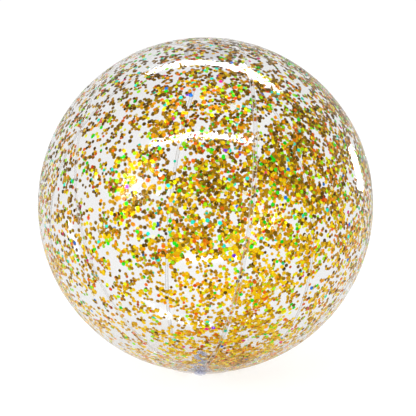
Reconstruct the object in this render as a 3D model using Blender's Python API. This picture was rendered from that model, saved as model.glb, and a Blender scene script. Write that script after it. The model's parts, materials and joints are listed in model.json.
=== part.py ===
"""Clear inflatable ball with loose glitter inside, valve at the bottom end cap.

Six gores are lap-welded along six meridians, and a round end cap is welded over each
pole. The bottom cap carries a push-in valve: a base with a guide collar, a sliding stem,
a rolling sleeve, a flap that lets air in only, and a plug on a short tether.

The ball stands on the plane z = 0 on the small patch that its own weight flattens.
Its seams meet on an axis that leans back from the vertical, which leaves the valve low
at the front, where it faces forwards and down.
"""

import math

import bmesh
import bpy
from mathutils import Matrix, Vector

# ---------------------------------------------------------------- driving dimensions, metres
BALL_R = 0.200  # outside of the inflated film
FILM = 0.00025  # film thickness
GAP = 0.0003  # clearance between separate layers
LAP = 0.0045  # width of a lap weld
GORES = 6
SEAM_DEG = 14.6  # longitude of the first seam, from the front meridian towards +X
LEAN_BACK_DEG = 25.6  # lean of the seam axis, top away from the front
LEAN_SIDE_DEG = 1.84
CONTACT_R = 0.0215  # floor contact under the ball's own weight

GORE_END_R = 0.028  # each gore is cut off here, under the end cap
CAP_ROW_R = 0.034
END_CAP_R = 0.033

VALVE_HOLE_R = 0.0060
BASE_R = 0.014  # welded flange of the valve base
BASE_T = 0.0008
COLLAR_IN_R = 0.0056
COLLAR_OUT_R = 0.0064
COLLAR_END = -0.0090  # valve heights are measured outwards from the cap's face
SLEEVE_IN_R = 0.0075
SLEEVE_T = 0.0004
SLEEVE_TOP = -0.0018
SLEEVE_END = -0.0210
STEM_R = 0.0050
STEM_BORE_R = 0.0034
RIM_R = 0.0075
RIM_LOW = 0.0003
RIM_TOP = 0.0018
STEM_FOOT_R = 0.0070
STEM_FOOT_TOP = -0.0213
STEM_END = -0.0225
LUG_REACH = 0.0086
LUG_HALF = 0.0022
PLUG_DISC_R = 0.0062
PLUG_LOW = 0.0021
PLUG_TOP = 0.0031
PLUG_ROOT_R = 0.00305
PLUG_TIP_R = 0.0023
PLUG_TIP = -0.0026
TAB_REACH = 0.0095
TAB_HALF = 0.0025
TETHER_HALF = 0.0016
HINGE_X = 0.0090
HINGE_Z = 0.00195
FLAP_R = 0.0046
FLAP_T = 0.0005
FLAP_HINGE_X = 0.0049
FLAP_HINGE_Z = STEM_END - 0.00015

GLITTER_R = BALL_R - 0.0020
GLITTER_T = 0.00002  # the flakes' whole volume, spread evenly over the inside
GLITTER_END_DEG = 12.0
GLITTER_SPLIT_DEG = 1.0

# ---------------------------------------------------------------- placement
CONTACT_SAG = CONTACT_R**2 / (2 * BALL_R)
CENTRE_H = BALL_R - CONTACT_SAG
LEAN = (
    Matrix.Rotation(math.radians(-8.0), 3, "X")
    @ Matrix.Rotation(math.radians(LEAN_SIDE_DEG), 3, "Y")
    @ Matrix.Rotation(math.radians(8.0 - LEAN_BACK_DEG), 3, "X")
)
BALL_FRAME = Matrix.Translation((0, 0, CENTRE_H)) @ LEAN.to_4x4()
CAP_LOW = BALL_R + 2 * (FILM + GAP) - FILM + GAP  # underside of an end cap
CAP_TOP = CAP_LOW + FILM


def clear_scene():
    for o in list(bpy.data.objects):
        bpy.data.objects.remove(o, do_unlink=True)


def material(name, colour, roughness, alpha=1.0, metallic=0.0):
    m = bpy.data.materials.new(name)
    m.use_nodes = True
    p = m.node_tree.nodes["Principled BSDF"]
    p.inputs["Base Color"].default_value = (*colour, 1)
    p.inputs["Roughness"].default_value = roughness
    p.inputs["Metallic"].default_value = metallic
    p.inputs["Alpha"].default_value = alpha
    return m


def new_object(name, bm, mat, parent, location=(0, 0, 0), smooth=40):
    bmesh.ops.recalc_face_normals(bm, faces=bm.faces)
    mesh = bpy.data.meshes.new(name)
    bm.to_mesh(mesh)
    bm.free()
    mesh.shade_smooth()
    mesh.set_sharp_from_angle(angle=math.radians(smooth))
    mesh.materials.append(mat)
    o = bpy.data.objects.new(name, mesh)
    bpy.context.scene.collection.objects.link(o)
    o.parent = parent
    o.location = location
    return o


def on_ball(radius, polar, longitude):
    """A point at a polar angle from the top, and a longitude from the front towards +X."""
    return Vector(
        (
            radius * math.sin(polar) * math.sin(longitude),
            -radius * math.sin(polar) * math.cos(longitude),
            radius * math.cos(polar),
        )
    )


def pressed(point, floor):
    """The film can't go below the plane it rests on."""
    w = BALL_FRAME @ point
    if w.z < floor:
        w.z = floor
    return BALL_FRAME.inverted() @ w


def gore_rows():
    """Polar angles of the rows, closer together where the ball rests."""
    end, cap = math.asin(GORE_END_R / BALL_R), math.asin(CAP_ROW_R / BALL_R)
    wide = [cap + (math.radians(144) - cap) * i / 16 for i in range(17)]
    foot = [math.radians(144 + 21 * i / 8) for i in range(1, 9)]
    return [end, *wide, *foot, math.pi - cap, math.pi - end]


def shell_from_grid(outer, inner):
    """One closed shell from two grids of points, the far side and the near side."""
    bm = bmesh.new()
    o = [[bm.verts.new(p) for p in row] for row in outer]
    i = [[bm.verts.new(p) for p in row] for row in inner]
    rows, cols = len(o), len(o[0])
    for r in range(rows - 1):
        for c in range(cols - 1):
            bm.faces.new((o[r][c], o[r + 1][c], o[r + 1][c + 1], o[r][c + 1]))
            bm.faces.new((i[r][c], i[r][c + 1], i[r + 1][c + 1], i[r + 1][c]))
    for r in range(rows - 1):
        for c in (0, cols - 1):
            a = (o[r][c], i[r][c], i[r + 1][c], o[r + 1][c])
            bm.faces.new(a if c == 0 else a[::-1])
    for c in range(cols - 1):
        for r in (0, rows - 1):
            a = (o[r][c], o[r][c + 1], i[r][c + 1], i[r][c])
            bm.faces.new(a if r == 0 else a[::-1])
    return bm


def gore_columns(polar, longitude, spans):
    """(longitude, raised, under) across one gore at one row. The west edge runs under its
    neighbour, and the east edge is lifted over the next."""
    ring = BALL_R * math.sin(polar)
    half, edge, ramp = LAP / 2 / ring, 0.0008 / ring, 0.0028 / ring
    west, east = longitude, longitude + 2 * math.pi / GORES
    first, last = west + half + edge, east - half - ramp
    cols = [(west - half, 0, 1), (west + half, 0, 1)]
    cols += [(first + (last - first) * i / spans, 0, 0) for i in range(spans + 1)]
    cols += [(east - half - edge, 1, 0), (east + half, 1, 0)]
    return cols


def gore(longitude, spans):
    outer, inner = [], []
    for polar in gore_rows():
        far, near = [], []
        for lon, raised, under in gore_columns(polar, longitude, spans):
            r = BALL_R + raised * (FILM + GAP)
            lift = under * (FILM + GAP)
            far.append(pressed(on_ball(r, polar, lon), lift))
            near.append(pressed(on_ball(r - FILM, polar, lon), lift + FILM))
        outer.append(far)
        inner.append(near)
    return shell_from_grid(outer, inner)


def glitter_layer(longitude):
    split = math.radians(GLITTER_SPLIT_DEG)
    end = math.radians(GLITTER_END_DEG)
    rows = [end + (math.pi - 2 * end) * i / 10 for i in range(11)]
    width = 2 * math.pi / GORES - split
    cols = [longitude + split / 2 + width * i / 4 for i in range(5)]
    return shell_from_grid(
        [[on_ball(GLITTER_R, p, c) for c in cols] for p in rows],
        [[on_ball(GLITTER_R - GLITTER_T, p, c) for c in cols] for p in rows],
    )


def lathe(profile, segments):
    """A closed solid turned about Z. The profile is a loop of (radius, height), or an open
    run whose two ends are on the axis."""
    bm = bmesh.new()
    on_axis = profile[0][0] == 0
    rings = []
    for r, z in profile:
        if r == 0:
            rings.append([bm.verts.new((0, 0, z))])
        else:
            rings.append(
                [
                    bm.verts.new(
                        (
                            r * math.cos(2 * math.pi * s / segments),
                            r * math.sin(2 * math.pi * s / segments),
                            z,
                        )
                    )
                    for s in range(segments)
                ]
            )
    pairs = list(zip(rings, rings[1:] + ([] if on_axis else rings[:1])))
    for a, b in pairs:
        for s in range(segments):
            t = (s + 1) % segments
            if len(a) == 1:
                bm.faces.new((a[0], b[s], b[t]))
            elif len(b) == 1:
                bm.faces.new((a[s], b[0], a[t]))
            else:
                bm.faces.new((a[s], b[s], b[t], a[t]))
    return bm


def sphere_z(radius, r, outwards=1):
    """Height of a ball surface at a distance r from the pole axis, measured from the cap's face."""
    return outwards * (math.sqrt(radius**2 - r**2) - CAP_TOP)


def dome_profile(inner_r, outer_r, low, top, steps):
    """Section of a thin dome that follows the ball, from a hole's edge or the axis."""
    rs = [inner_r + (outer_r - inner_r) * i / steps for i in range(steps + 1)]
    up = [(r, sphere_z(top, r)) for r in rs]
    down = [(r, sphere_z(low, r)) for r in reversed(rs)]
    return up + down


def box(low, high):
    bm = bmesh.new()
    bmesh.ops.create_cube(bm, size=1.0)
    size = [h - w for w, h in zip(low, high)]
    mid = [(h + w) / 2 for w, h in zip(low, high)]
    bmesh.ops.scale(bm, vec=size, verts=bm.verts)
    bmesh.ops.translate(bm, vec=mid, verts=bm.verts)
    return bm


def united(o, helper):
    """Joins a helper's shape to an object, and keeps the helper out of the object list."""
    helper.hide_render = True
    helper.display_type = "WIRE"
    m = o.modifiers.new("join", "BOOLEAN")
    m.operation = "UNION"
    m.solver = "EXACT"
    m.object = helper


def main():
    clear_scene()
    film = material("clear_film", (0.90, 0.91, 0.92), 0.08, alpha=0.25)
    cap_film = material("cap_film", (0.86, 0.88, 0.91), 0.10, alpha=0.35)
    vinyl = material("valve_vinyl", (0.78, 0.81, 0.90), 0.22, alpha=0.6)
    soft = material("sleeve_vinyl", (0.84, 0.86, 0.92), 0.30, alpha=0.5)
    gold = material("gold_glitter", (0.72, 0.47, 0.05), 0.30, metallic=0.9)

    ball = bpy.data.objects.new("ball_axis", None)
    bpy.context.scene.collection.objects.link(ball)
    ball.matrix_world = BALL_FRAME

    # Valve axis: Z out of the ball at the bottom pole, X towards the front, where the
    # tether is.
    valve = bpy.data.objects.new("valve_axis", None)
    bpy.context.scene.collection.objects.link(valve)
    valve.parent = ball
    valve.matrix_local = Matrix(
        ((0, -1, 0, 0), (-1, 0, 0, 0), (0, 0, -1, -CAP_TOP), (0, 0, 0, 1))
    )
    top = bpy.data.objects.new("top_axis", None)
    bpy.context.scene.collection.objects.link(top)
    top.parent = ball
    top.location = (0, 0, CAP_TOP)

    # Gores, with closer columns on the one that rests on the floor.
    for k in range(GORES):
        lon = math.radians(SEAM_DEG) + 2 * math.pi / GORES * k
        new_object(f"gore_panel_{k + 1}", gore(lon, 10 if k == 2 else 5), film, ball)
        new_object(f"glitter_layer_{k + 1}", glitter_layer(lon), gold, ball)

    # End caps.
    new_object(
        "top_end_cap",
        lathe(dome_profile(0, END_CAP_R, CAP_LOW, CAP_TOP, 4), 36),
        cap_film,
        top,
    )
    new_object(
        "bottom_end_cap",
        lathe(dome_profile(VALVE_HOLE_R, END_CAP_R, CAP_LOW, CAP_TOP, 4), 36),
        cap_film,
        valve,
    )

    # Valve base: a flange that follows the cap, and the collar that guides the stem.
    base_top, base_low = CAP_LOW - GAP, CAP_LOW - GAP - BASE_T
    flange = [COLLAR_IN_R, 0.0098, BASE_R]
    profile = [(r, sphere_z(base_top, r)) for r in flange]
    profile += [(r, sphere_z(base_low, r)) for r in (BASE_R, 0.0102, COLLAR_OUT_R)]
    profile += [(COLLAR_OUT_R, COLLAR_END), (COLLAR_IN_R, COLLAR_END)]
    new_object("valve_base", lathe(profile, 32), vinyl, valve)

    new_object(
        "valve_sleeve",
        lathe(
            [
                (SLEEVE_IN_R, SLEEVE_TOP),
                (SLEEVE_IN_R + SLEEVE_T, SLEEVE_TOP),
                (SLEEVE_IN_R + SLEEVE_T, SLEEVE_END),
                (SLEEVE_IN_R, SLEEVE_END),
            ],
            32,
        ),
        soft,
        valve,
    )

    # Stem: rim outside the cap, bore right through, foot that stops against the collar.
    edge = 0.0004
    stem = new_object(
        "valve_stem",
        lathe(
            [
                (STEM_BORE_R, RIM_TOP),
                (RIM_R - edge, RIM_TOP),
                (RIM_R, RIM_TOP - edge),
                (RIM_R, RIM_LOW + edge),
                (RIM_R - edge, RIM_LOW),
                (STEM_R, RIM_LOW),
                (STEM_R, STEM_FOOT_TOP),
                (STEM_FOOT_R, STEM_FOOT_TOP),
                (STEM_FOOT_R, STEM_END),
                (STEM_BORE_R, STEM_END),
            ],
            32,
        ),
        vinyl,
        valve,
    )
    lug = new_object(
        "lug_shape",
        box(
            (RIM_R - 0.0012, -LUG_HALF, RIM_LOW + 0.0001),
            (LUG_REACH, LUG_HALF, RIM_TOP - 0.0001),
        ),
        vinyl,
        valve,
    )
    united(stem, lug)

    # Plug, tether and their hinge line.
    hinge = bpy.data.objects.new("plug_hinge", None)
    bpy.context.scene.collection.objects.link(hinge)
    hinge.parent = valve
    hinge.location = (HINGE_X, 0, HINGE_Z)
    shift = Matrix.Translation((-HINGE_X, 0, -HINGE_Z))
    bm = lathe(
        [
            (0, PLUG_TIP),
            (PLUG_TIP_R - 0.0004, PLUG_TIP),
            (PLUG_TIP_R, PLUG_TIP + 0.0005),
            (PLUG_ROOT_R, PLUG_LOW),
            (PLUG_DISC_R - 0.0003, PLUG_LOW),
            (PLUG_DISC_R, PLUG_LOW + 0.0003),
            (PLUG_DISC_R, PLUG_TOP - 0.0003),
            (PLUG_DISC_R - 0.0003, PLUG_TOP),
            (0.0020, PLUG_TOP),
            (0.0016, 0.0),
            (0, 0.0),
        ],
        32,
    )
    bm.transform(shift)
    plug = new_object("valve_plug", bm, vinyl, hinge)
    bm = box(
        (-TAB_REACH, -TAB_HALF, PLUG_LOW + 0.0001),
        (-PLUG_DISC_R + 0.0010, TAB_HALF, PLUG_TOP - 0.0001),
    )
    bm.transform(shift)
    tab = new_object("tab_shape", bm, vinyl, hinge)
    united(plug, tab)
    bm = box(
        (PLUG_DISC_R + GAP, -TETHER_HALF, PLUG_LOW),
        (LUG_REACH, TETHER_HALF, PLUG_TOP),
    )
    bm.transform(shift)
    new_object("plug_tether", bm, vinyl, hinge)

    # Flap over the stem's inner end, hinged on the side nearest the front.
    flap_top = STEM_END - GAP
    bm = lathe(
        [
            (0, flap_top - FLAP_T),
            (FLAP_R - 0.0002, flap_top - FLAP_T),
            (FLAP_R, flap_top - FLAP_T / 2),
            (FLAP_R - 0.0002, flap_top),
            (0, flap_top),
        ],
        24,
    )
    bm.transform(Matrix.Translation((-FLAP_HINGE_X, 0, -FLAP_HINGE_Z)))
    new_object(
        "check_flap", bm, soft, valve, location=(FLAP_HINGE_X, 0, FLAP_HINGE_Z)
    )


main()
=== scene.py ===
"""Looks of the clear glitter beach ball: film, welds, end caps, valve, loose flakes, floor and light."""

import json
import math

import bpy
import numpy as np
from mathutils import Matrix, Vector

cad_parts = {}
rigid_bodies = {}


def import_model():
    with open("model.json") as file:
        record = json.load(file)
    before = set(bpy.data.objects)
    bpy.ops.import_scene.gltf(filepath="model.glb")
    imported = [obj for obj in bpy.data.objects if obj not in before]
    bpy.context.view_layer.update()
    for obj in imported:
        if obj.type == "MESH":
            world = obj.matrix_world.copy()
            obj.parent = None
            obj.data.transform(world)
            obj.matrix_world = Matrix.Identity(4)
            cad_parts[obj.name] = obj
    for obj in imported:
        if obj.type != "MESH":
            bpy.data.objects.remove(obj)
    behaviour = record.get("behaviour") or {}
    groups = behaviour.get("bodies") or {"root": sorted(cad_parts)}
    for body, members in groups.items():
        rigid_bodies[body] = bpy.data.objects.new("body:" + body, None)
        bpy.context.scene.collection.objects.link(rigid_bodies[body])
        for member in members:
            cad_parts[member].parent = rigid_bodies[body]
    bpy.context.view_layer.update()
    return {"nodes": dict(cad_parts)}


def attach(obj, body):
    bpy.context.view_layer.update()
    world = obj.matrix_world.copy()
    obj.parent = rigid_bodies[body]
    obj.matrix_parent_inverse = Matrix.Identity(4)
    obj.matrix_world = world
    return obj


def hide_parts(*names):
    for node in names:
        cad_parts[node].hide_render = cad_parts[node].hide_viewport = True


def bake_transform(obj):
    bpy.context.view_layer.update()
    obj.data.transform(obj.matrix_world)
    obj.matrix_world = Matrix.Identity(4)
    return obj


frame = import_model()
scene = bpy.context.scene

# ---------------------------------------------------------------- the design's dimensions, metres
BALL_R = 0.200
FILM = 0.00025
GAP = 0.0003
LAP = 0.0045
GORES = 6
SEAM_DEG = 14.6
LEAN_BACK_DEG = 25.6
LEAN_SIDE_DEG = 1.84
CONTACT_R = 0.0215
GORE_END_R = 0.028
END_CAP_R = 0.033
VALVE_HOLE_R = 0.0060
CENTRE_H = BALL_R - CONTACT_R**2 / (2 * BALL_R)
CAP_LOW = BALL_R + 2 * (FILM + GAP) - FILM + GAP
CAP_TOP = CAP_LOW + FILM
VIEW_ELEVATION = 8.0

LEAN = (
    Matrix.Rotation(math.radians(-8.0), 3, "X")
    @ Matrix.Rotation(math.radians(LEAN_SIDE_DEG), 3, "Y")
    @ Matrix.Rotation(math.radians(8.0 - LEAN_BACK_DEG), 3, "X")
)
BALL_FRAME = Matrix.Translation((0, 0, CENTRE_H)) @ LEAN.to_4x4()
VALVE_FRAME = BALL_FRAME @ Matrix(
    ((0, -1, 0, 0), (-1, 0, 0, 0), (0, 0, -1, -CAP_TOP), (0, 0, 0, 1))
)
TOP_FRAME = BALL_FRAME @ Matrix.Translation((0, 0, CAP_TOP))
TURN = np.array(LEAN)
CENTRE = np.array((0.0, 0.0, CENTRE_H))


def to_world(points, matrix):
    m = np.array(matrix)
    return points @ m[:3, :3].T + m[:3, 3]


def hashed(a, b, seed):
    """A repeatable number from 0 to 1 for each pair of whole numbers."""
    v = np.sin(a * 12.9898 + b * 78.233 + seed * 37.719) * 43758.5453
    return v - np.floor(v)


# ---------------------------------------------------------------- materials
class Nodes:
    def __init__(self, name):
        self.mat = bpy.data.materials.new(name)
        self.mat.use_nodes = True
        self.nt = self.mat.node_tree
        for n in list(self.nt.nodes):
            self.nt.nodes.remove(n)
        self.out = self.nt.nodes.new("ShaderNodeOutputMaterial")

    def add(self, kind, **values):
        n = self.nt.nodes.new(kind)
        for k, v in values.items():
            if hasattr(n, k):
                setattr(n, k, v)
            else:
                n.inputs[k.replace("_", " ")].default_value = v
        return n

    def link(self, a, b):
        self.nt.links.new(a, b)

    def math(self, op, a, b=None, clamp=False):
        n = self.nt.nodes.new("ShaderNodeMath")
        n.operation = op
        n.use_clamp = clamp
        for i, v in enumerate((a, b)):
            if v is None:
                continue
            if isinstance(v, (int, float)):
                n.inputs[i].default_value = v
            else:
                self.link(v, n.inputs[i])
        return n.outputs[0]

    def map(self, v, a, b, c, d, clamp=True):
        n = self.nt.nodes.new("ShaderNodeMapRange")
        n.clamp = clamp
        self.link(v, n.inputs["Value"])
        for k, x in (("From Min", a), ("From Max", b), ("To Min", c), ("To Max", d)):
            n.inputs[k].default_value = x
        return n.outputs["Result"]

    def noise(self, scale, detail=2.0, rough=0.5, distortion=0.0):
        tc = self.nt.nodes.new("ShaderNodeTexCoord")
        n = self.nt.nodes.new("ShaderNodeTexNoise")
        n.inputs["Scale"].default_value = scale
        n.inputs["Detail"].default_value = detail
        n.inputs["Roughness"].default_value = rough
        n.inputs["Distortion"].default_value = distortion
        self.link(tc.outputs["Object"], n.inputs["Vector"])
        return n.outputs["Fac"]

    def ramp(self, fac, stops, interpolation="LINEAR"):
        n = self.nt.nodes.new("ShaderNodeValToRGB")
        e = n.color_ramp.elements
        n.color_ramp.interpolation = interpolation
        while len(e) > 1:
            e.remove(e[-1])
        e[0].position, e[0].color = stops[0][0], (*stops[0][1], 1)
        for p, c in stops[1:]:
            x = e.new(p)
            x.color = (*c, 1)
        self.link(fac, n.inputs["Fac"])
        return n.outputs["Color"]

    def mix(self, fac, a, b):
        n = self.nt.nodes.new("ShaderNodeMixShader")
        if isinstance(fac, (int, float)):
            n.inputs[0].default_value = fac
        else:
            self.link(fac, n.inputs[0])
        self.link(a, n.inputs[1])
        self.link(b, n.inputs[2])
        return n.outputs[0]

    def done(self, shader):
        self.link(shader, self.out.inputs["Surface"])
        return self.mat


def srgb(r, g, b):
    return tuple(
        (c / 255 / 12.92) if c / 255 <= 0.04045 else ((c / 255 + 0.055) / 1.055) ** 2.4
        for c in (r, g, b)
    )


def film_material(name, dim, haze, gloss, tint=(1.0, 1.0, 1.0)):
    """Thin clear vinyl. What it passes dims towards the rim, its gloss grows there, and weld lines,
    a faint uneven haze and a painted glow low on the ball for the floor's bounce light show as milky
    film."""
    n = Nodes(name)
    facing = n.add("ShaderNodeLayerWeight")
    facing.inputs["Blend"].default_value = 0.5
    away = facing.outputs["Facing"]
    clearance = n.ramp(
        away,
        [
            (at, tuple(level * dim * t for t in tint))
            for at, level in (
                (0.0, 0.949),
                (0.30, 0.940),
                (0.56, 0.934),
                (0.69, 0.930),
                (0.76, 0.930),
                (0.84, 0.924),
                (1.0, 0.92),
            )
        ],
    )
    weld = n.add("ShaderNodeAttribute", attribute_name="weld")
    dimmer = n.add("ShaderNodeVectorMath", operation="SCALE")
    n.link(clearance, dimmer.inputs[0])
    n.link(n.map(weld.outputs["Fac"], 0, 1, 1.0, 0.78), dimmer.inputs["Scale"])
    passes = n.add("ShaderNodeBsdfTransparent")
    n.link(dimmer.outputs[0], passes.inputs["Color"])
    # Shallow moulded-in waviness of calendered film.
    bump = n.add("ShaderNodeBump")
    bump.inputs["Strength"].default_value = 0.10
    bump.inputs["Distance"].default_value = 0.0006
    n.link(n.noise(34.0, 2.0, 0.45), bump.inputs["Height"])
    shine = n.add("ShaderNodeBsdfGlossy")
    shine.inputs["Color"].default_value = (gloss, gloss, gloss, 1)
    n.link(n.map(n.noise(90.0, 3.0), 0.3, 0.7, 0.03, 0.075), shine.inputs["Roughness"])
    n.link(bump.outputs["Normal"], shine.inputs["Normal"])
    fresnel = n.math(
        "ADD", n.math("MULTIPLY", n.math("POWER", away, 6.0), 0.17), 0.002, clamp=True
    )
    body = n.mix(fresnel, passes.outputs[0], shine.outputs[0])
    front = n.add("ShaderNodeBsdfDiffuse")
    front.inputs["Color"].default_value = (0.97, 0.92, 0.88, 1)
    through = n.add("ShaderNodeBsdfTranslucent")
    through.inputs["Color"].default_value = (0.99, 0.95, 0.91, 1)
    milk = n.mix(0.5, front.outputs[0], through.outputs[0])
    cloud = n.map(n.noise(26.0, 4.0, 0.6), 0.35, 0.75, haze * 0.4, haze * 1.6)
    place = n.add("ShaderNodeTexCoord")
    height = n.add("ShaderNodeSeparateXYZ")
    n.link(place.outputs["Object"], height.inputs[0])
    # Milky beige film low on the ball, strongest at the very bottom: a painted glow that stands in for
    # bright bounce light off the floor.
    painted_bottom_glow = n.math(
        "MULTIPLY",
        n.math(
            "ADD",
            n.map(height.outputs["Z"], 0.0, 0.050, 0.11, 0.0),
            n.map(height.outputs["Z"], 0.003, 0.020, 0.34, 0.0),
        ),
        n.map(n.noise(60.0, 4.0, 0.6), 0.3, 0.7, 0.7, 1.2),
    )
    amount = n.math(
        "ADD",
        n.math("MULTIPLY", weld.outputs["Fac"], 0.62),
        n.math("ADD", cloud, painted_bottom_glow),
        clamp=True,
    )
    return n.done(n.mix(amount, body, milk))


def vinyl_material(name, colour, through, rough=(0.12, 0.26)):
    """Thicker moulded vinyl: cloudy and faintly blue, with a soft shine."""
    n = Nodes(name)
    p = n.add("ShaderNodeBsdfPrincipled")
    p.inputs["IOR"].default_value = 1.52
    p.inputs["Coat Weight"].default_value = 0.25
    p.inputs["Coat Roughness"].default_value = 0.08
    shade = n.ramp(
        n.noise(160.0, 3.0),
        [(0.3, tuple(0.86 * c for c in colour)), (0.7, tuple(colour))],
    )
    n.link(shade, p.inputs["Base Color"])
    n.link(n.map(n.noise(420.0, 3.0), 0.3, 0.7, *rough), p.inputs["Roughness"])
    bump = n.add("ShaderNodeBump")
    bump.inputs["Strength"].default_value = 0.12
    bump.inputs["Distance"].default_value = 0.0001
    n.link(n.noise(900.0, 2.0), bump.inputs["Height"])
    n.link(bump.outputs["Normal"], p.inputs["Normal"])
    clear = n.add("ShaderNodeBsdfTransparent")
    clear.inputs["Color"].default_value = (0.93, 0.94, 0.985, 1)
    cloud = n.map(n.noise(210.0, 2.0), 0.3, 0.7, 1 - through * 1.1, 1 - through * 0.9)
    return n.done(n.mix(cloud, clear.outputs[0], p.outputs[0]))


# Flake colours, from dark bronze to bright gold, and the rainbow tints of holographic film. The dark
# bronzes are partly the flakes' own tone and partly painted reflection of darker surroundings, and the
# near-white last colour is a painted glint.
PALETTE = [
    srgb(96, 64, 4),
    srgb(124, 86, 6),
    srgb(154, 110, 8),
    srgb(188, 130, 6),
    srgb(216, 160, 8),
    srgb(255, 194, 6),
    srgb(246, 140, 8),
    srgb(238, 92, 14),
    srgb(226, 48, 16),
    srgb(248, 240, 8),
    srgb(172, 234, 12),
    srgb(70, 222, 24),
    srgb(36, 236, 196),
    srgb(40, 140, 232),
    srgb(236, 40, 150),
    srgb(124, 60, 226),
    # Painted glint: near-white for a few flakes, standing in for sparkle.
    srgb(255, 244, 196),
]


def glitter_material():
    """Metallised flakes: each has its own colour, partly painted light and shade, with a fine rainbow
    grating over it.
    """
    n = Nodes("gold_glitter_flakes")
    pick = n.add("ShaderNodeAttribute", attribute_name="pick")
    vary = n.add("ShaderNodeAttribute", attribute_name="vary")
    base = n.ramp(
        pick.outputs["Fac"],
        [(i / len(PALETTE), c) for i, c in enumerate(PALETTE)],
        "CONSTANT",
    )
    grating = n.noise(900.0, 2.0, 0.6, 0.4)
    hue = n.add("ShaderNodeHueSaturation")
    n.link(base, hue.inputs["Color"])
    n.link(n.map(grating, 0.3, 0.7, 0.498, 0.522), hue.inputs["Hue"])
    n.link(
        n.math(
            "MULTIPLY",
            n.map(vary.outputs["Fac"], 0, 1, 0.86, 1.22),
            n.map(n.noise(1500.0, 1.0), 0.3, 0.7, 0.92, 1.08),
        ),
        hue.inputs["Value"],
    )
    p = n.add("ShaderNodeBsdfPrincipled")
    p.inputs["Metallic"].default_value = 0.95
    n.link(hue.outputs["Color"], p.inputs["Base Color"])
    n.link(n.map(vary.outputs["Fac"], 0, 1, 0.22, 0.42), p.inputs["Roughness"])
    return n.done(p.outputs[0])


def floor_material():
    n = Nodes("studio_floor")
    p = n.add("ShaderNodeBsdfPrincipled")
    n.link(
        n.ramp(n.noise(3.0, 2.0), [(0.3, (0.37, 0.37, 0.37)), (0.7, (0.39, 0.39, 0.39))]),
        p.inputs["Base Color"],
    )
    p.inputs["Roughness"].default_value = 0.9
    p.inputs["Specular IOR Level"].default_value = 0.1
    p.inputs["Emission Color"].default_value = (1, 1, 1, 1)
    p.inputs["Emission Strength"].default_value = 0.70
    return n.done(p.outputs[0])


# ---------------------------------------------------------------- mesh helpers
def mesh_object(name, verts, faces, mat, attributes=None, smooth=True, angle=35):
    mesh = bpy.data.meshes.new(name)
    mesh.from_pydata([tuple(map(float, v)) for v in verts], [], faces)
    if smooth:
        mesh.shade_smooth()
        mesh.set_sharp_from_angle(angle=math.radians(angle))
    for key, values in (attributes or {}).items():
        a = mesh.attributes.new(key, "FLOAT", "POINT")
        a.data.foreach_set("value", np.asarray(values, np.float32))
    mesh.materials.append(mat)
    o = bpy.data.objects.new(name, mesh)
    scene.collection.objects.link(o)
    return o


def grid_faces(rows, cols, start, flip):
    out = []
    for r in range(rows - 1):
        for c in range(cols - 1):
            a, b = start + r * cols + c, start + r * cols + c + 1
            d, e = a + cols, b + cols
            out.append((a, b, e, d) if flip else (a, d, e, b))
    return out


def shell(outer, inner):
    """Vertices and faces of one closed shell between two equal grids of points."""
    rows, cols = outer.shape[:2]
    verts = np.concatenate([outer.reshape(-1, 3), inner.reshape(-1, 3)])
    k = rows * cols
    faces = grid_faces(rows, cols, 0, False) + grid_faces(rows, cols, k, True)
    for r in range(rows - 1):
        a, b = r * cols, (r + 1) * cols
        faces.append((a, a + k, b + k, b))
        a, b = a + cols - 1, b + cols - 1
        faces.append((a, b, b + k, a + k))
    for c in range(cols - 1):
        a, b = c, c + 1
        faces.append((a, b, b + k, a + k))
        a, b = (rows - 1) * cols + c, (rows - 1) * cols + c + 1
        faces.append((a, a + k, b + k, b))
    return verts, faces


def turned(profile, segments, on_axis=False):
    """Vertices and faces of a profile turned about Z: a closed loop, or with on_axis an open
    run whose two ends lie on the axis."""
    verts, rings = [], []
    for r, z in profile:
        if on_axis and r == 0:
            rings.append([len(verts)])
            verts.append((0.0, 0.0, z))
        else:
            rings.append(list(range(len(verts), len(verts) + segments)))
            t = 2 * math.pi * np.arange(segments) / segments
            verts += list(zip(r * np.cos(t), r * np.sin(t), np.full(segments, z)))
    faces = []
    pairs = list(zip(rings, rings[1:] + ([] if on_axis else rings[:1])))
    for a, b in pairs:
        for s in range(segments):
            t = (s + 1) % segments
            if len(a) == 1:
                faces.append((a[0], b[s], b[t]))
            elif len(b) == 1:
                faces.append((a[s], b[0], a[t]))
            else:
                faces.append((a[s], b[s], b[t], a[t]))
    return np.array(verts), faces


def cap_z(radius, r):
    return np.sqrt(radius**2 - r**2) - CAP_TOP


# ---------------------------------------------------------------- camera, first
camera_data = bpy.data.cameras.new("view")
camera = bpy.data.objects.new("view", camera_data)
scene.collection.objects.link(camera)
elevation = math.radians(VIEW_ELEVATION)
distance = 7 * BALL_R
camera.location = (
    0,
    -distance * math.cos(elevation),
    CENTRE_H + distance * math.sin(elevation),
)
camera.rotation_euler = (math.pi / 2 - elevation, 0, 0)
camera_data.lens = 100.65
camera_data.sensor_width = 36
camera_data.clip_start = 0.05
camera_data.shift_x = 2.5 / 416
camera_data.shift_y = -3.0 / 416
scene.camera = camera

# ---------------------------------------------------------------- film
clear_film = film_material("clear_film_look", 1.0, 0.0012, 0.95)
cap_film = film_material("cap_film_look", 0.91, 0.02, 0.95, (0.985, 0.99, 1.0))
# The bottom cap is a lighter, milkier copy of the cap film: painted light for the brighter, overexposed
# bottom of the ball.
painted_light_low_cap_film = film_material("low_cap_film_look", 0.985, 0.03, 0.95, (0.99, 0.99, 1.0))
valve_vinyl = vinyl_material("valve_vinyl_look", (0.62, 0.64, 0.74), 0.70)
sleeve_vinyl = vinyl_material("sleeve_vinyl_look", (0.76, 0.79, 0.90), 0.80)
flakes_look = glitter_material()


def pressed(points, floor):
    """Film can't go below the floor: its layers lie flat on it, one on the other."""
    w = points.copy()
    w[..., 2] = np.maximum(w[..., 2], floor)
    return w


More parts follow.
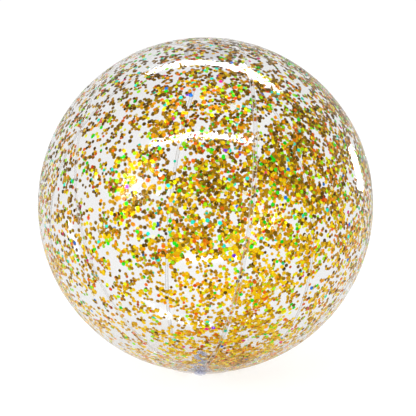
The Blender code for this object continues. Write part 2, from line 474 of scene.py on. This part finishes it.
def on_ball(radius, polar, lon):
    p = np.stack(
        [
            radius * np.sin(polar) * np.sin(lon),
            -radius * np.sin(polar) * np.cos(lon),
            radius * np.cos(polar),
        ],
        -1,
    )
    return p @ TURN.T + CENTRE


def puckers(polar, lon, seam, ring):
    """Small tension waves that run out of a weld and die away, in metres outwards."""
    d = np.abs(lon - seam) * ring
    along = polar * BALL_R
    wave = (
        np.sin(along / 0.0047 + 2.1 * np.sin(along / 0.021 + seam * 3))
        * (0.55 + 0.45 * np.sin(along / 0.033 + seam * 5))
    )
    return -0.00016 * (1 - wave) * np.exp(-((d / 0.0085) ** 2)) * np.minimum(1, ring / 0.05)


def cap_puckers(polar, lon):
    """Fine radial waves just outside the end caps, where flat film is drawn round a pole."""
    d = np.minimum(polar, np.pi - polar) * BALL_R - END_CAP_R
    wave = np.sin(lon * 42 + 1.7 * np.sin(lon * 5)) * (0.6 + 0.4 * np.sin(lon * 7 + 1))
    return -0.00022 * (1 - wave) * np.exp(-((np.maximum(d, 0) / 0.016) ** 2)) * (d > 0)


def film_gore(index):
    west = math.radians(SEAM_DEG) + 2 * math.pi / GORES * index
    east = west + 2 * math.pi / GORES
    end = math.asin(GORE_END_R / BALL_R)
    cap = math.asin(0.034 / BALL_R)
    polar = np.concatenate(
        [
            np.linspace(end, cap, 5)[:-1],
            cap + (math.pi - 2 * cap) * np.linspace(0, 1, 151),
            (math.pi - np.linspace(end, cap, 5)[:-1])[::-1],
        ]
    )
    outer, inner, weld = [], [], []
    for p in polar:
        ring = BALL_R * math.sin(p)
        half = LAP / 2 / ring
        mm = 0.001 / ring
        first, last = west + half + 0.8 * mm, east - half - 2.8 * mm
        lon = np.concatenate(
            [
                [west - half, west - half + 0.4 * mm, west, west + half],
                np.linspace(first, last, 37),
                [
                    east - half - 0.8 * mm,
                    east - half - 0.2 * mm,
                    east - half,
                    east - half + 0.85 * mm,
                    east + half - 0.85 * mm,
                    east + half,
                ],
            ]
        )
        raised = np.concatenate([np.zeros(4 + 37), np.ones(6)])
        under = np.concatenate([np.ones(4), np.zeros(37 + 6)])
        w = np.concatenate(
            [[0.0, 0.0, 0.0, 0.0], np.zeros(37), [0.0, 0.2, 1.0, 0.04, 0.04, 1.0]]
        )
        near_cap = float(min(p, math.pi - p) * BALL_R < END_CAP_R + 0.0005)
        swell = (1 - near_cap) * (
            puckers(p, lon, west, ring) + puckers(p, lon, east, ring) + cap_puckers(p, lon)
        )
        r = BALL_R + raised * (FILM + GAP) + swell
        lift = under * (FILM + GAP)
        outer.append(pressed(on_ball(r, p, lon), lift))
        inner.append(pressed(on_ball(r - FILM, p, lon), lift + FILM))
        weld.append(np.maximum(w, 0.0))
    verts, faces = shell(np.array(outer), np.array(inner))
    weld = np.array(weld).reshape(-1)
    o = mesh_object(
        f"film_gore_{index + 1}",
        verts,
        faces,
        clear_film,
        {"weld": np.concatenate([weld, weld * 0.6])},
    )
    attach(o, "ball")
    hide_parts(f"gore_panel_{index + 1}")
    return o


for k in range(GORES):
    film_gore(k)


def cap_piece(name, node, hole, matrix, mat):
    """An end cap: a thin dome with a pressed weld ring near its edge."""
    rs = np.concatenate(
        [
            np.linspace(hole, 0.0272, 18),
            [0.0276, 0.0280, 0.0284, 0.0296, 0.0310, 0.0321, 0.0326, END_CAP_R],
        ]
    )
    ring = np.exp(-(((rs - 0.0302) / 0.0016) ** 2)) * 0.00006

    def line(at, width):
        return np.exp(-(((rs - at) / width) ** 2))

    w = np.clip(
        line(END_CAP_R, 0.0004) * 0.5 + line(0.0280, 0.0004) * 0.4 + (rs > 0.0283) * 0.12
        + (line(hole, 0.0005) + line(0.0140, 0.0005) * 0.8 + (rs < 0.0140) * 0.2) * (hole > 0),
        0,
        1,
    )
    top = [(r, cap_z(CAP_TOP, r) - d) for r, d in zip(rs, ring)]
    low = [(r, cap_z(CAP_LOW, r)) for r in rs[::-1]]
    profile = top + low
    verts, faces = turned(profile, 96, on_axis=hole == 0)
    values = []
    for (r, _), v in zip(profile, list(w) + list(w[::-1])):
        values += [v] * (1 if hole == 0 and r == 0 else 96)
    o = mesh_object(name, to_world(verts, matrix), faces, mat, {"weld": values})
    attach(o, "ball")
    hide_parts(node)


cap_piece("film_cap_top", "top_end_cap", 0.0, TOP_FRAME, cap_film)
cap_piece("film_cap_bottom", "bottom_end_cap", VALVE_HOLE_R, VALVE_FRAME, painted_light_low_cap_film)

# ---------------------------------------------------------------- valve
for node in ("valve_base", "valve_stem", "valve_plug"):
    o = frame["nodes"][node]
    for s in o.material_slots:
        s.material = valve_vinyl
for s in frame["nodes"]["check_flap"].material_slots:
    s.material = sleeve_vinyl


def sleeve():
    """Thin membrane from the valve base to the stem's foot, with slack rolled folds."""
    z = np.linspace(-0.0019, -0.0210, 60)
    t = (z - z[0]) / (z[-1] - z[0])
    r = 0.0077 + 0.00028 * np.sin(t * math.pi * 7) * np.sin(t * math.pi)
    out = [(a + 0.00012, b) for a, b in zip(r, z)]
    back = [(a - 0.00012, b) for a, b in zip(r[::-1], z[::-1])]
    verts, faces = turned(out + back, 72)
    o = mesh_object("sleeve_membrane", to_world(verts, VALVE_FRAME), faces, sleeve_vinyl)
    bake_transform(o)
    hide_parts("valve_sleeve")


def strap():
    """Moulded strap from the stem's lug round to the plug's disc, one piece through the hinge."""
    path = [
        (0.0079, 0.00105),
        (0.0086, 0.00100),
        (0.0094, 0.00105),
        (0.01005, 0.00140),
        (0.01030, 0.00195),
        (0.01005, 0.00245),
        (0.0094, 0.00265),
        (0.0086, 0.00265),
        (0.0078, 0.00262),
        (0.0060, 0.00260),
    ]
    pts = np.array(path)
    fine = []
    n = len(pts)
    for i in range(n - 1):
        p0, p1, p2, p3 = (pts[max(i - 1, 0)], pts[i], pts[i + 1], pts[min(i + 2, n - 1)])
        for t in np.arange(0, 1, 0.25):
            fine.append(
                0.5
                * (
                    2 * p1
                    + (p2 - p0) * t
                    + (2 * p0 - 5 * p1 + 4 * p2 - p3) * t * t
                    + (3 * p1 - p0 - 3 * p2 + p3) * t**3
                )
            )
    fine.append(pts[-1])
    fine = np.array(fine)
    tangent = np.gradient(fine, axis=0)
    tangent /= np.linalg.norm(tangent, axis=1)[:, None]
    side = np.stack([-tangent[:, 1], tangent[:, 0]], -1)
    s = np.linspace(0, 1, len(fine))
    thick = 0.00042 - 0.00020 * np.exp(-(((s - 0.46) / 0.12) ** 2))
    half = 0.0016 - 0.0003 * np.exp(-(((s - 0.46) / 0.16) ** 2))
    verts, faces, ring = [], [], 12
    for p, q, h, w in zip(fine, side, thick, half):
        for i in range(ring):
            a = 2 * math.pi * (i + 0.5) / ring
            u = math.copysign(abs(math.cos(a)) ** 0.45, math.cos(a)) * w
            v = math.copysign(abs(math.sin(a)) ** 0.45, math.sin(a)) * h
            c = p + q * v
            verts.append((c[0], u, c[1]))
    m = len(fine)
    for r in range(m - 1):
        for i in range(ring):
            j = (i + 1) % ring
            faces.append(
                (r * ring + i, r * ring + j, (r + 1) * ring + j, (r + 1) * ring + i)
            )
    faces.append(tuple(range(ring))[::-1])
    faces.append(tuple((m - 1) * ring + i for i in range(ring)))
    o = mesh_object("plug_strap", to_world(np.array(verts), VALVE_FRAME), faces, valve_vinyl)
    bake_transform(o)
    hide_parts("plug_tether")


def hinge_bead():
    """Moulded bead at the strap's bending line, on the stem's lug, waisted in the middle."""
    profile = [
        (0.0, 1.35),
        (0.20, 1.35),
        (0.34, 1.28),
        (0.42, 1.14),
        (0.43, 0.40),
        (0.38, 0.18),
        (0.37, 0.0),
        (0.38, -0.18),
        (0.43, -0.40),
        (0.42, -1.14),
        (0.34, -1.28),
        (0.20, -1.35),
        (0.0, -1.35),
    ]
    verts, faces = turned([(r / 1000, z / 1000) for r, z in profile], 32, on_axis=True)
    x, y, z = verts.T
    verts = np.stack([x + 0.0090, z, 0.00195 - y], -1)
    o = mesh_object("strap_bead", to_world(verts, VALVE_FRAME), faces, valve_vinyl)
    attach(o, "stem")


sleeve()
strap()
hinge_bead()

# ---------------------------------------------------------------- loose glitter
FLAKE_R = 0.00235
FLAKE_T = 0.00008
FLAKE_SHARE = 0.67


def cover(x, z):
    """Share of one wall that flakes cover, over the ball as the front view sees it: most in
    the middle and on the right, least towards the upper left and round the top."""

    def bump(cx, cz, r, a):
        return a * np.exp(-(((x - cx) ** 2 + (z - cz) ** 2) / r**2))

    q = (
        0.30
        + bump(0.15, -0.05, 0.70, 0.11)
        + bump(0.64, 0.46, 0.44, 0.18)
        + bump(-0.28, 0.02, 0.30, 0.12)
        + bump(0.35, -0.15, 0.35, 0.07)
        - bump(-0.55, -0.85, 0.35, 0.14)
        + bump(0.30, -0.80, 0.35, 0.10)
        - bump(-0.60, 0.80, 0.45, 0.15)
        - bump(-0.62, -0.62, 0.25, 0.06)
        - bump(0.85, -0.55, 0.28, 0.16)
        + bump(0.22, 0.94, 0.38, 0.11)
        - bump(0.35, -0.09, 0.08, 0.28)
    )
    return np.clip(q, 0.03, 0.6)


def lumps(p):
    """Slow and quick unevenness of the cover, around 1."""
    x, y, z = (p / BALL_R).T
    slow = np.sin(3.1 * x + 1.3) * np.sin(2.7 * y - 0.4) + np.sin(3.7 * z + 2.2 * x)
    quick = (
        np.sin(17 * x + 5 * z) * np.sin(15 * z - 4 * y + 1.1)
        + np.sin(13 * y + 6 * x + 2.0) * np.sin(19 * z + 3 * x)
        + np.sin(29 * x - 11 * y) * np.sin(31 * z + 7 * y + 0.5)
    )
    return np.clip(1 + 0.18 * slow + 0.45 * quick, 0.03, 3.5)


def flake_places():
    """Directions of the flakes from the ball's centre, in the camera's upright frame."""
    rng = np.random.default_rng(20)
    area = 3 * math.sqrt(3) / 2 * FLAKE_R**2
    most = 1.2
    tries = int(4 * math.pi * BALL_R**2 * most / area)
    v = rng.normal(size=(tries, 3))
    v /= np.linalg.norm(v, axis=1)[:, None]
    rate = -np.log(1 - cover(v[:, 0], v[:, 2])) * lumps(v * BALL_R)
    own = v[rng.random(tries) * most < rate * FLAKE_SHARE]
    places, levels = [own], [np.zeros(len(own))]

    def beside(parents, low, high):
        step = rng.normal(size=parents.shape)
        step -= (step * parents).sum(1)[:, None] * parents
        step /= np.linalg.norm(step, axis=1)[:, None]
        reach = rng.uniform(low, high, len(parents)) * FLAKE_R / BALL_R
        kids = parents + step * reach[:, None]
        return kids / np.linalg.norm(kids, axis=1)[:, None]

    # Flakes cling together: most touch a neighbour edge to edge, some lie over it.
    row = own
    for share in (0.34, 0.45, 0.40):
        row = beside(row[rng.random(len(row)) < share], 1.5, 2.0)
        places.append(row)
        levels.append(np.zeros(len(row)))
    over = beside(own[rng.random(len(own)) < 0.12], 0.6, 1.3)
    places.append(over)
    levels.append(np.ones(len(over)))
    # Those that won't cling gather at the lowest place.
    loose = rng.normal(0, 0.13, size=(600, 2)) + (0.12, 0.0)
    z = -np.sqrt(np.clip(1 - (loose**2).sum(1), 0.1, 1))
    ground = np.array(Matrix.Rotation(elevation, 3, "X"))
    pile = np.stack([loose[:, 0], loose[:, 1], z], -1) @ ground.T
    places.append(pile)
    levels.append(rng.uniform(0, 4, len(pile)))
    return np.concatenate(places), np.concatenate(levels)


def flake_colours(v, rng):
    """Palette choice for each flake: darker bronze higher up and brighter gold lower down, painted light
    and shade for the bright floor that the low flakes reflect and the darker surroundings that the high
    ones reflect.
    """
    n = len(v)
    low = np.clip((0.15 - v[:, 2]) / 0.9, 0, 1)  # 0 above the middle, 1 near the bottom
    high = np.clip((v[:, 2] + 0.05) / 0.9, 0, 1)
    names = len(PALETTE)
    w = np.zeros((n, names))
    # The high and low terms paint shade on the upper flakes and light on the lower ones.
    w[:, 0] = 0.065 + 0.14 * high - 0.065 * low
    w[:, 1] = 0.120 + 0.10 * high - 0.115 * low
    w[:, 2] = 0.170 + 0.02 * high - 0.145 * low
    w[:, 3] = 0.185 - 0.07 * high - 0.12 * low
    w[:, 4] = 0.10 - 0.04 * high + 0.10 * low
    w[:, 5] = 0.095 - 0.05 * high + 0.50 * low
    w[:, 6] = 0.075 + 0.02 * high
    w[:, 7] = 0.035 + 0.015 * high
    w[:, 8] = 0.006 + 0.008 * high
    w[:, 9] = 0.065
    w[:, 10] = 0.055 - 0.025 * low
    w[:, 11] = 0.030 - 0.020 * low
    w[:, 12] = 0.016 - 0.006 * low
    w[:, 13] = 0.0025
    w[:, 14] = 0.003
    w[:, 15] = 0.002
    # Near-white painted glints on a few flakes.
    w[:, 16] = 0.020
    w = np.clip(w, 0.001, None)
    w /= w.sum(1)[:, None]
    pick = (rng.random(n)[:, None] > np.cumsum(w, 1)).sum(1)
    return np.clip(pick, 0, names - 1)


def lowest_film(d, size):
    """The deepest that the puckered film dips under each flake's middle and rim, in metres."""
    local = d @ TURN
    polar = np.arccos(np.clip(local[:, 2], -1, 1))
    lon = np.arctan2(local[:, 0], -local[:, 1])
    ring = np.maximum(BALL_R * np.sin(polar), 0.004)
    pitch, first = 2 * math.pi / GORES, math.radians(SEAM_DEG)
    dips = [np.zeros(len(d))]
    for a, b in ((0, 0), (1, 0), (-1, 0), (0, 1), (0, -1), (0.7, 0.7), (-0.7, -0.7)):
        p = np.clip(polar + a * size / BALL_R, 0.01, math.pi - 0.01)
        q = lon + b * size / ring
        seam = first + pitch * np.round((q - first) / pitch)
        dips.append(puckers(p, q, seam, ring) + cap_puckers(p, q))
    return np.min(dips, axis=0)


def flakes():
    rng = np.random.default_rng(7)
    upright, level = flake_places()
    tilt_view = np.array(Matrix.Rotation(-elevation, 3, "X"))
    d = upright @ tilt_view.T  # world directions
    n = len(d)
    pick = flake_colours(upright, rng)
    vary = rng.random(n)
    lean = np.abs(rng.normal(0, math.radians(4.0), n)) + level * rng.uniform(
        0, math.radians(6), n
    )
    lean = np.where(rng.random(n) < 0.025, rng.uniform(0.2, 0.5, n), lean)
    spin = rng.uniform(0, 2 * math.pi, n)
    size = FLAKE_R * rng.normal(1.0, 0.05, n).clip(0.85, 1.12)
    depth = (
        FILM + 0.00012 + level * 0.00018 + rng.uniform(0, 0.00022, n) + size * np.sin(lean)
    )
    # A frame for each flake: w points inwards and leans, u and v span the flake.
    helper = np.where(np.abs(d[:, 2:3]) < 0.9, [[0.0, 0.0, 1.0]], [[1.0, 0.0, 0.0]])
    e1 = np.cross(d, helper)
    e1 /= np.linalg.norm(e1, axis=1)[:, None]
    e2 = np.cross(d, e1)
    way = rng.uniform(0, 2 * math.pi, n)
    hinge = e1 * np.cos(way)[:, None] + e2 * np.sin(way)[:, None]
    cross = np.cross(d, hinge)
    w = d * np.cos(lean)[:, None] + cross * np.sin(lean)[:, None]
    u0 = hinge
    v0 = np.cross(w, u0)
    u = u0 * np.cos(spin)[:, None] + v0 * np.sin(spin)[:, None]
    v = np.cross(w, u)
    centre = CENTRE + d * (BALL_R - depth + lowest_film(d, size))[:, None]
    centre[:, 2] = np.maximum(
        centre[:, 2], 2 * FILM + GAP + 0.0003 + size * np.sin(lean) + level * 0.0002
    )
    longitude = np.arctan2(
        ((centre - CENTRE) @ TURN)[:, 0], -((centre - CENTRE) @ TURN)[:, 1]
    )
    gore = (
        np.floor((np.degrees(longitude) - SEAM_DEG) % 360 / (360 / GORES)).astype(int)
        % GORES
    )
    polar = np.arccos(np.clip(((centre - CENTRE) @ TURN)[:, 2] / BALL_R, -1, 1))
    # None in the valve's way, and few along the welds, where the laps stiffen the film.
    clear = polar < math.pi - math.asin(0.0165 / BALL_R)
    off_seam = np.abs(
        (np.degrees(longitude) - SEAM_DEG + 180 / GORES) % (360 / GORES) - 180 / GORES
    )
    away = np.radians(off_seam) * BALL_R * np.sin(polar)
    clear &= (away > 0.0045) | (rng.random(n) < 0.30)
    for k in range(GORES):
        at = np.nonzero((gore == k) & clear)[0]
        side = math.ceil(math.sqrt(len(at)))
        verts = np.empty((len(at), 12, 3))
        for i in range(6):
            a = 2 * math.pi * i / 6
            ray = u[at] * math.cos(a) + v[at] * math.sin(a)
            rim = centre[at] + ray * size[at][:, None]
            verts[:, i] = rim + w[at] * FLAKE_T / 2
            verts[:, i + 6] = rim - w[at] * FLAKE_T / 2
        faces = []
        for q in range(len(at)):
            b = q * 12
            faces.append(tuple(b + i for i in range(6)))
            faces.append(tuple(b + 11 - i for i in range(6)))
            for i in range(6):
                j = (i + 1) % 6
                faces.append((b + i, b + 6 + i, b + 6 + j, b + j))
        o = mesh_object(
            f"glitter_flakes_{k + 1}",
            verts.reshape(-1, 3),
            faces,
            flakes_look,
            {
                "pick": np.repeat((pick[at] + 0.5) / len(PALETTE), 12),
                "vary": np.repeat(vary[at], 12),
            },
            smooth=False,
        )
        # Each flake has its own cell of the map.
        layer = o.data.uv_layers.new(name="OFBake")
        loops = np.empty(len(o.data.loops), np.int32)
        o.data.loops.foreach_get("vertex_index", loops)
        q, i = loops // 12, loops % 6
        ang = 2 * np.pi * i / 6
        reach = np.where(loops % 12 < 6, 0.36, 0.30)
        uv = np.stack(
            [
                (q % side + 0.5 + reach * np.cos(ang)) / side,
                (q // side + 0.5 + reach * np.sin(ang)) / side,
            ],
            -1,
        )
        layer.data.foreach_set("uv", uv.astype(np.float32).ravel())
        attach(o, "ball")
        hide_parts(f"glitter_layer_{k + 1}")
    print("flakes", n)


flakes()

# ---------------------------------------------------------------- floor and light
film = bpy.data.collections.new("film_pieces")
back = bpy.data.collections.new("film_back")
for o in bpy.data.objects:
    if o.name.startswith("film_"):
        film.objects.link(o)
    if o.name in ("film_gore_2", "film_gore_3", "film_gore_4"):
        back.objects.link(o)

floor = mesh_object(
    "studio_floor",
    [(-6, -6, -0.0002), (6, -6, -0.0002), (6, 6, -0.0002), (-6, 6, -0.0002)],
    [(0, 1, 2, 3)],
    floor_material(),
)


def softbox(name, first, second, far, across, radiance, only=None):
    """A rectangular lamp whose middle line runs between two directions seen from the ball's
    centre. Its width is in degrees. Lamps for the film only shape the film's reflections."""
    a, b = Vector(first).normalized(), Vector(second).normalized()
    d = (a + b).normalized()
    along = (b - a).normalized()
    data = bpy.data.lights.new(name, "AREA")
    data.shape = "RECTANGLE"
    reach = far * (a + b).length / 2
    data.size = far * (b - a).length
    data.size_y = reach * math.radians(across)
    data.energy = radiance * math.pi * data.size * data.size_y
    o = bpy.data.objects.new(name, data)
    scene.collection.objects.link(o)
    side = d.cross(along).normalized()
    turn = Matrix((along, side, along.cross(side))).transposed()
    if turn.col[2].dot(d) < 0:
        turn = Matrix((along, -side, along.cross(-side))).transposed()
    o.matrix_world = Matrix.Translation(Vector(CENTRE) + d * reach) @ turn.to_4x4()
    if only:
        o.light_linking.receiver_collection = only
        o.visible_diffuse = False
    return o


# A long strip high behind the ball, a second one high in front, a window at the right and a
# box at the left.
softbox("strip_back", (-0.39, 0.394, 0.833), (0.548, 0.212, 0.809), 1.7, 5.0, 800, film)
softbox("strip_front", (-0.531, -0.537, 0.655), (0.43, -0.566, 0.704), 1.8, 4.0, 620, film)
softbox("window_right", (0.774, 0.587, 0.237), (0.83, 0.558, 0.002), 1.8, 9.0, 320, film)
softbox("box_left", (-0.725, -0.632, 0.16), (-0.725, -0.632, 0.40), 2.2, 14.0, 40, film)
softbox("box_left_far", (-0.725, -0.632, 0.16), (-0.725, -0.632, 0.40), 2.2, 14.0, 420, back)
softbox("fill_left", (-0.66, -0.66, 0.10), (-0.60, -0.60, 0.52), 2.4, 24.0, 4.6)
softbox("fill_top", (-0.40, -0.20, 0.90), (0.45, -0.20, 0.90), 2.2, 22.0, 1.6)

world = bpy.data.worlds.new("studio")
scene.world = world
world.use_nodes = True
nt = world.node_tree
for x in list(nt.nodes):
    nt.nodes.remove(x)
out = nt.nodes.new("ShaderNodeOutputWorld")
seen = nt.nodes.new("ShaderNodeBackground")
seen.inputs["Color"].default_value = (1, 1, 1, 1)
seen.inputs["Strength"].default_value = 1.05
room = nt.nodes.new("ShaderNodeBackground")
coord = nt.nodes.new("ShaderNodeTexCoord")
split = nt.nodes.new("ShaderNodeSeparateXYZ")
shade = nt.nodes.new("ShaderNodeValToRGB")
shade.color_ramp.elements[0].position = 0.48
shade.color_ramp.elements[0].color = (1.15, 1.15, 1.15, 1)
shade.color_ramp.elements[1].position = 1.0
shade.color_ramp.elements[1].color = (0.85, 0.85, 0.85, 1)
half_up = nt.nodes.new("ShaderNodeMapRange")
half_up.inputs["From Min"].default_value = -1
nt.links.new(coord.outputs["Generated"], split.inputs[0])
nt.links.new(split.outputs["Z"], half_up.inputs["Value"])
nt.links.new(half_up.outputs["Result"], shade.inputs["Fac"])
nt.links.new(shade.outputs["Color"], room.inputs["Color"])
room.inputs["Strength"].default_value = 1.0
path = nt.nodes.new("ShaderNodeLightPath")
mix = nt.nodes.new("ShaderNodeMixShader")
nt.links.new(path.outputs["Is Camera Ray"], mix.inputs[0])
nt.links.new(room.outputs[0], mix.inputs[1])
nt.links.new(seen.outputs[0], mix.inputs[2])
nt.links.new(mix.outputs[0], out.inputs["Surface"])

scene.view_settings.view_transform = "Standard"
scene.cycles.transparent_max_bounces = 32
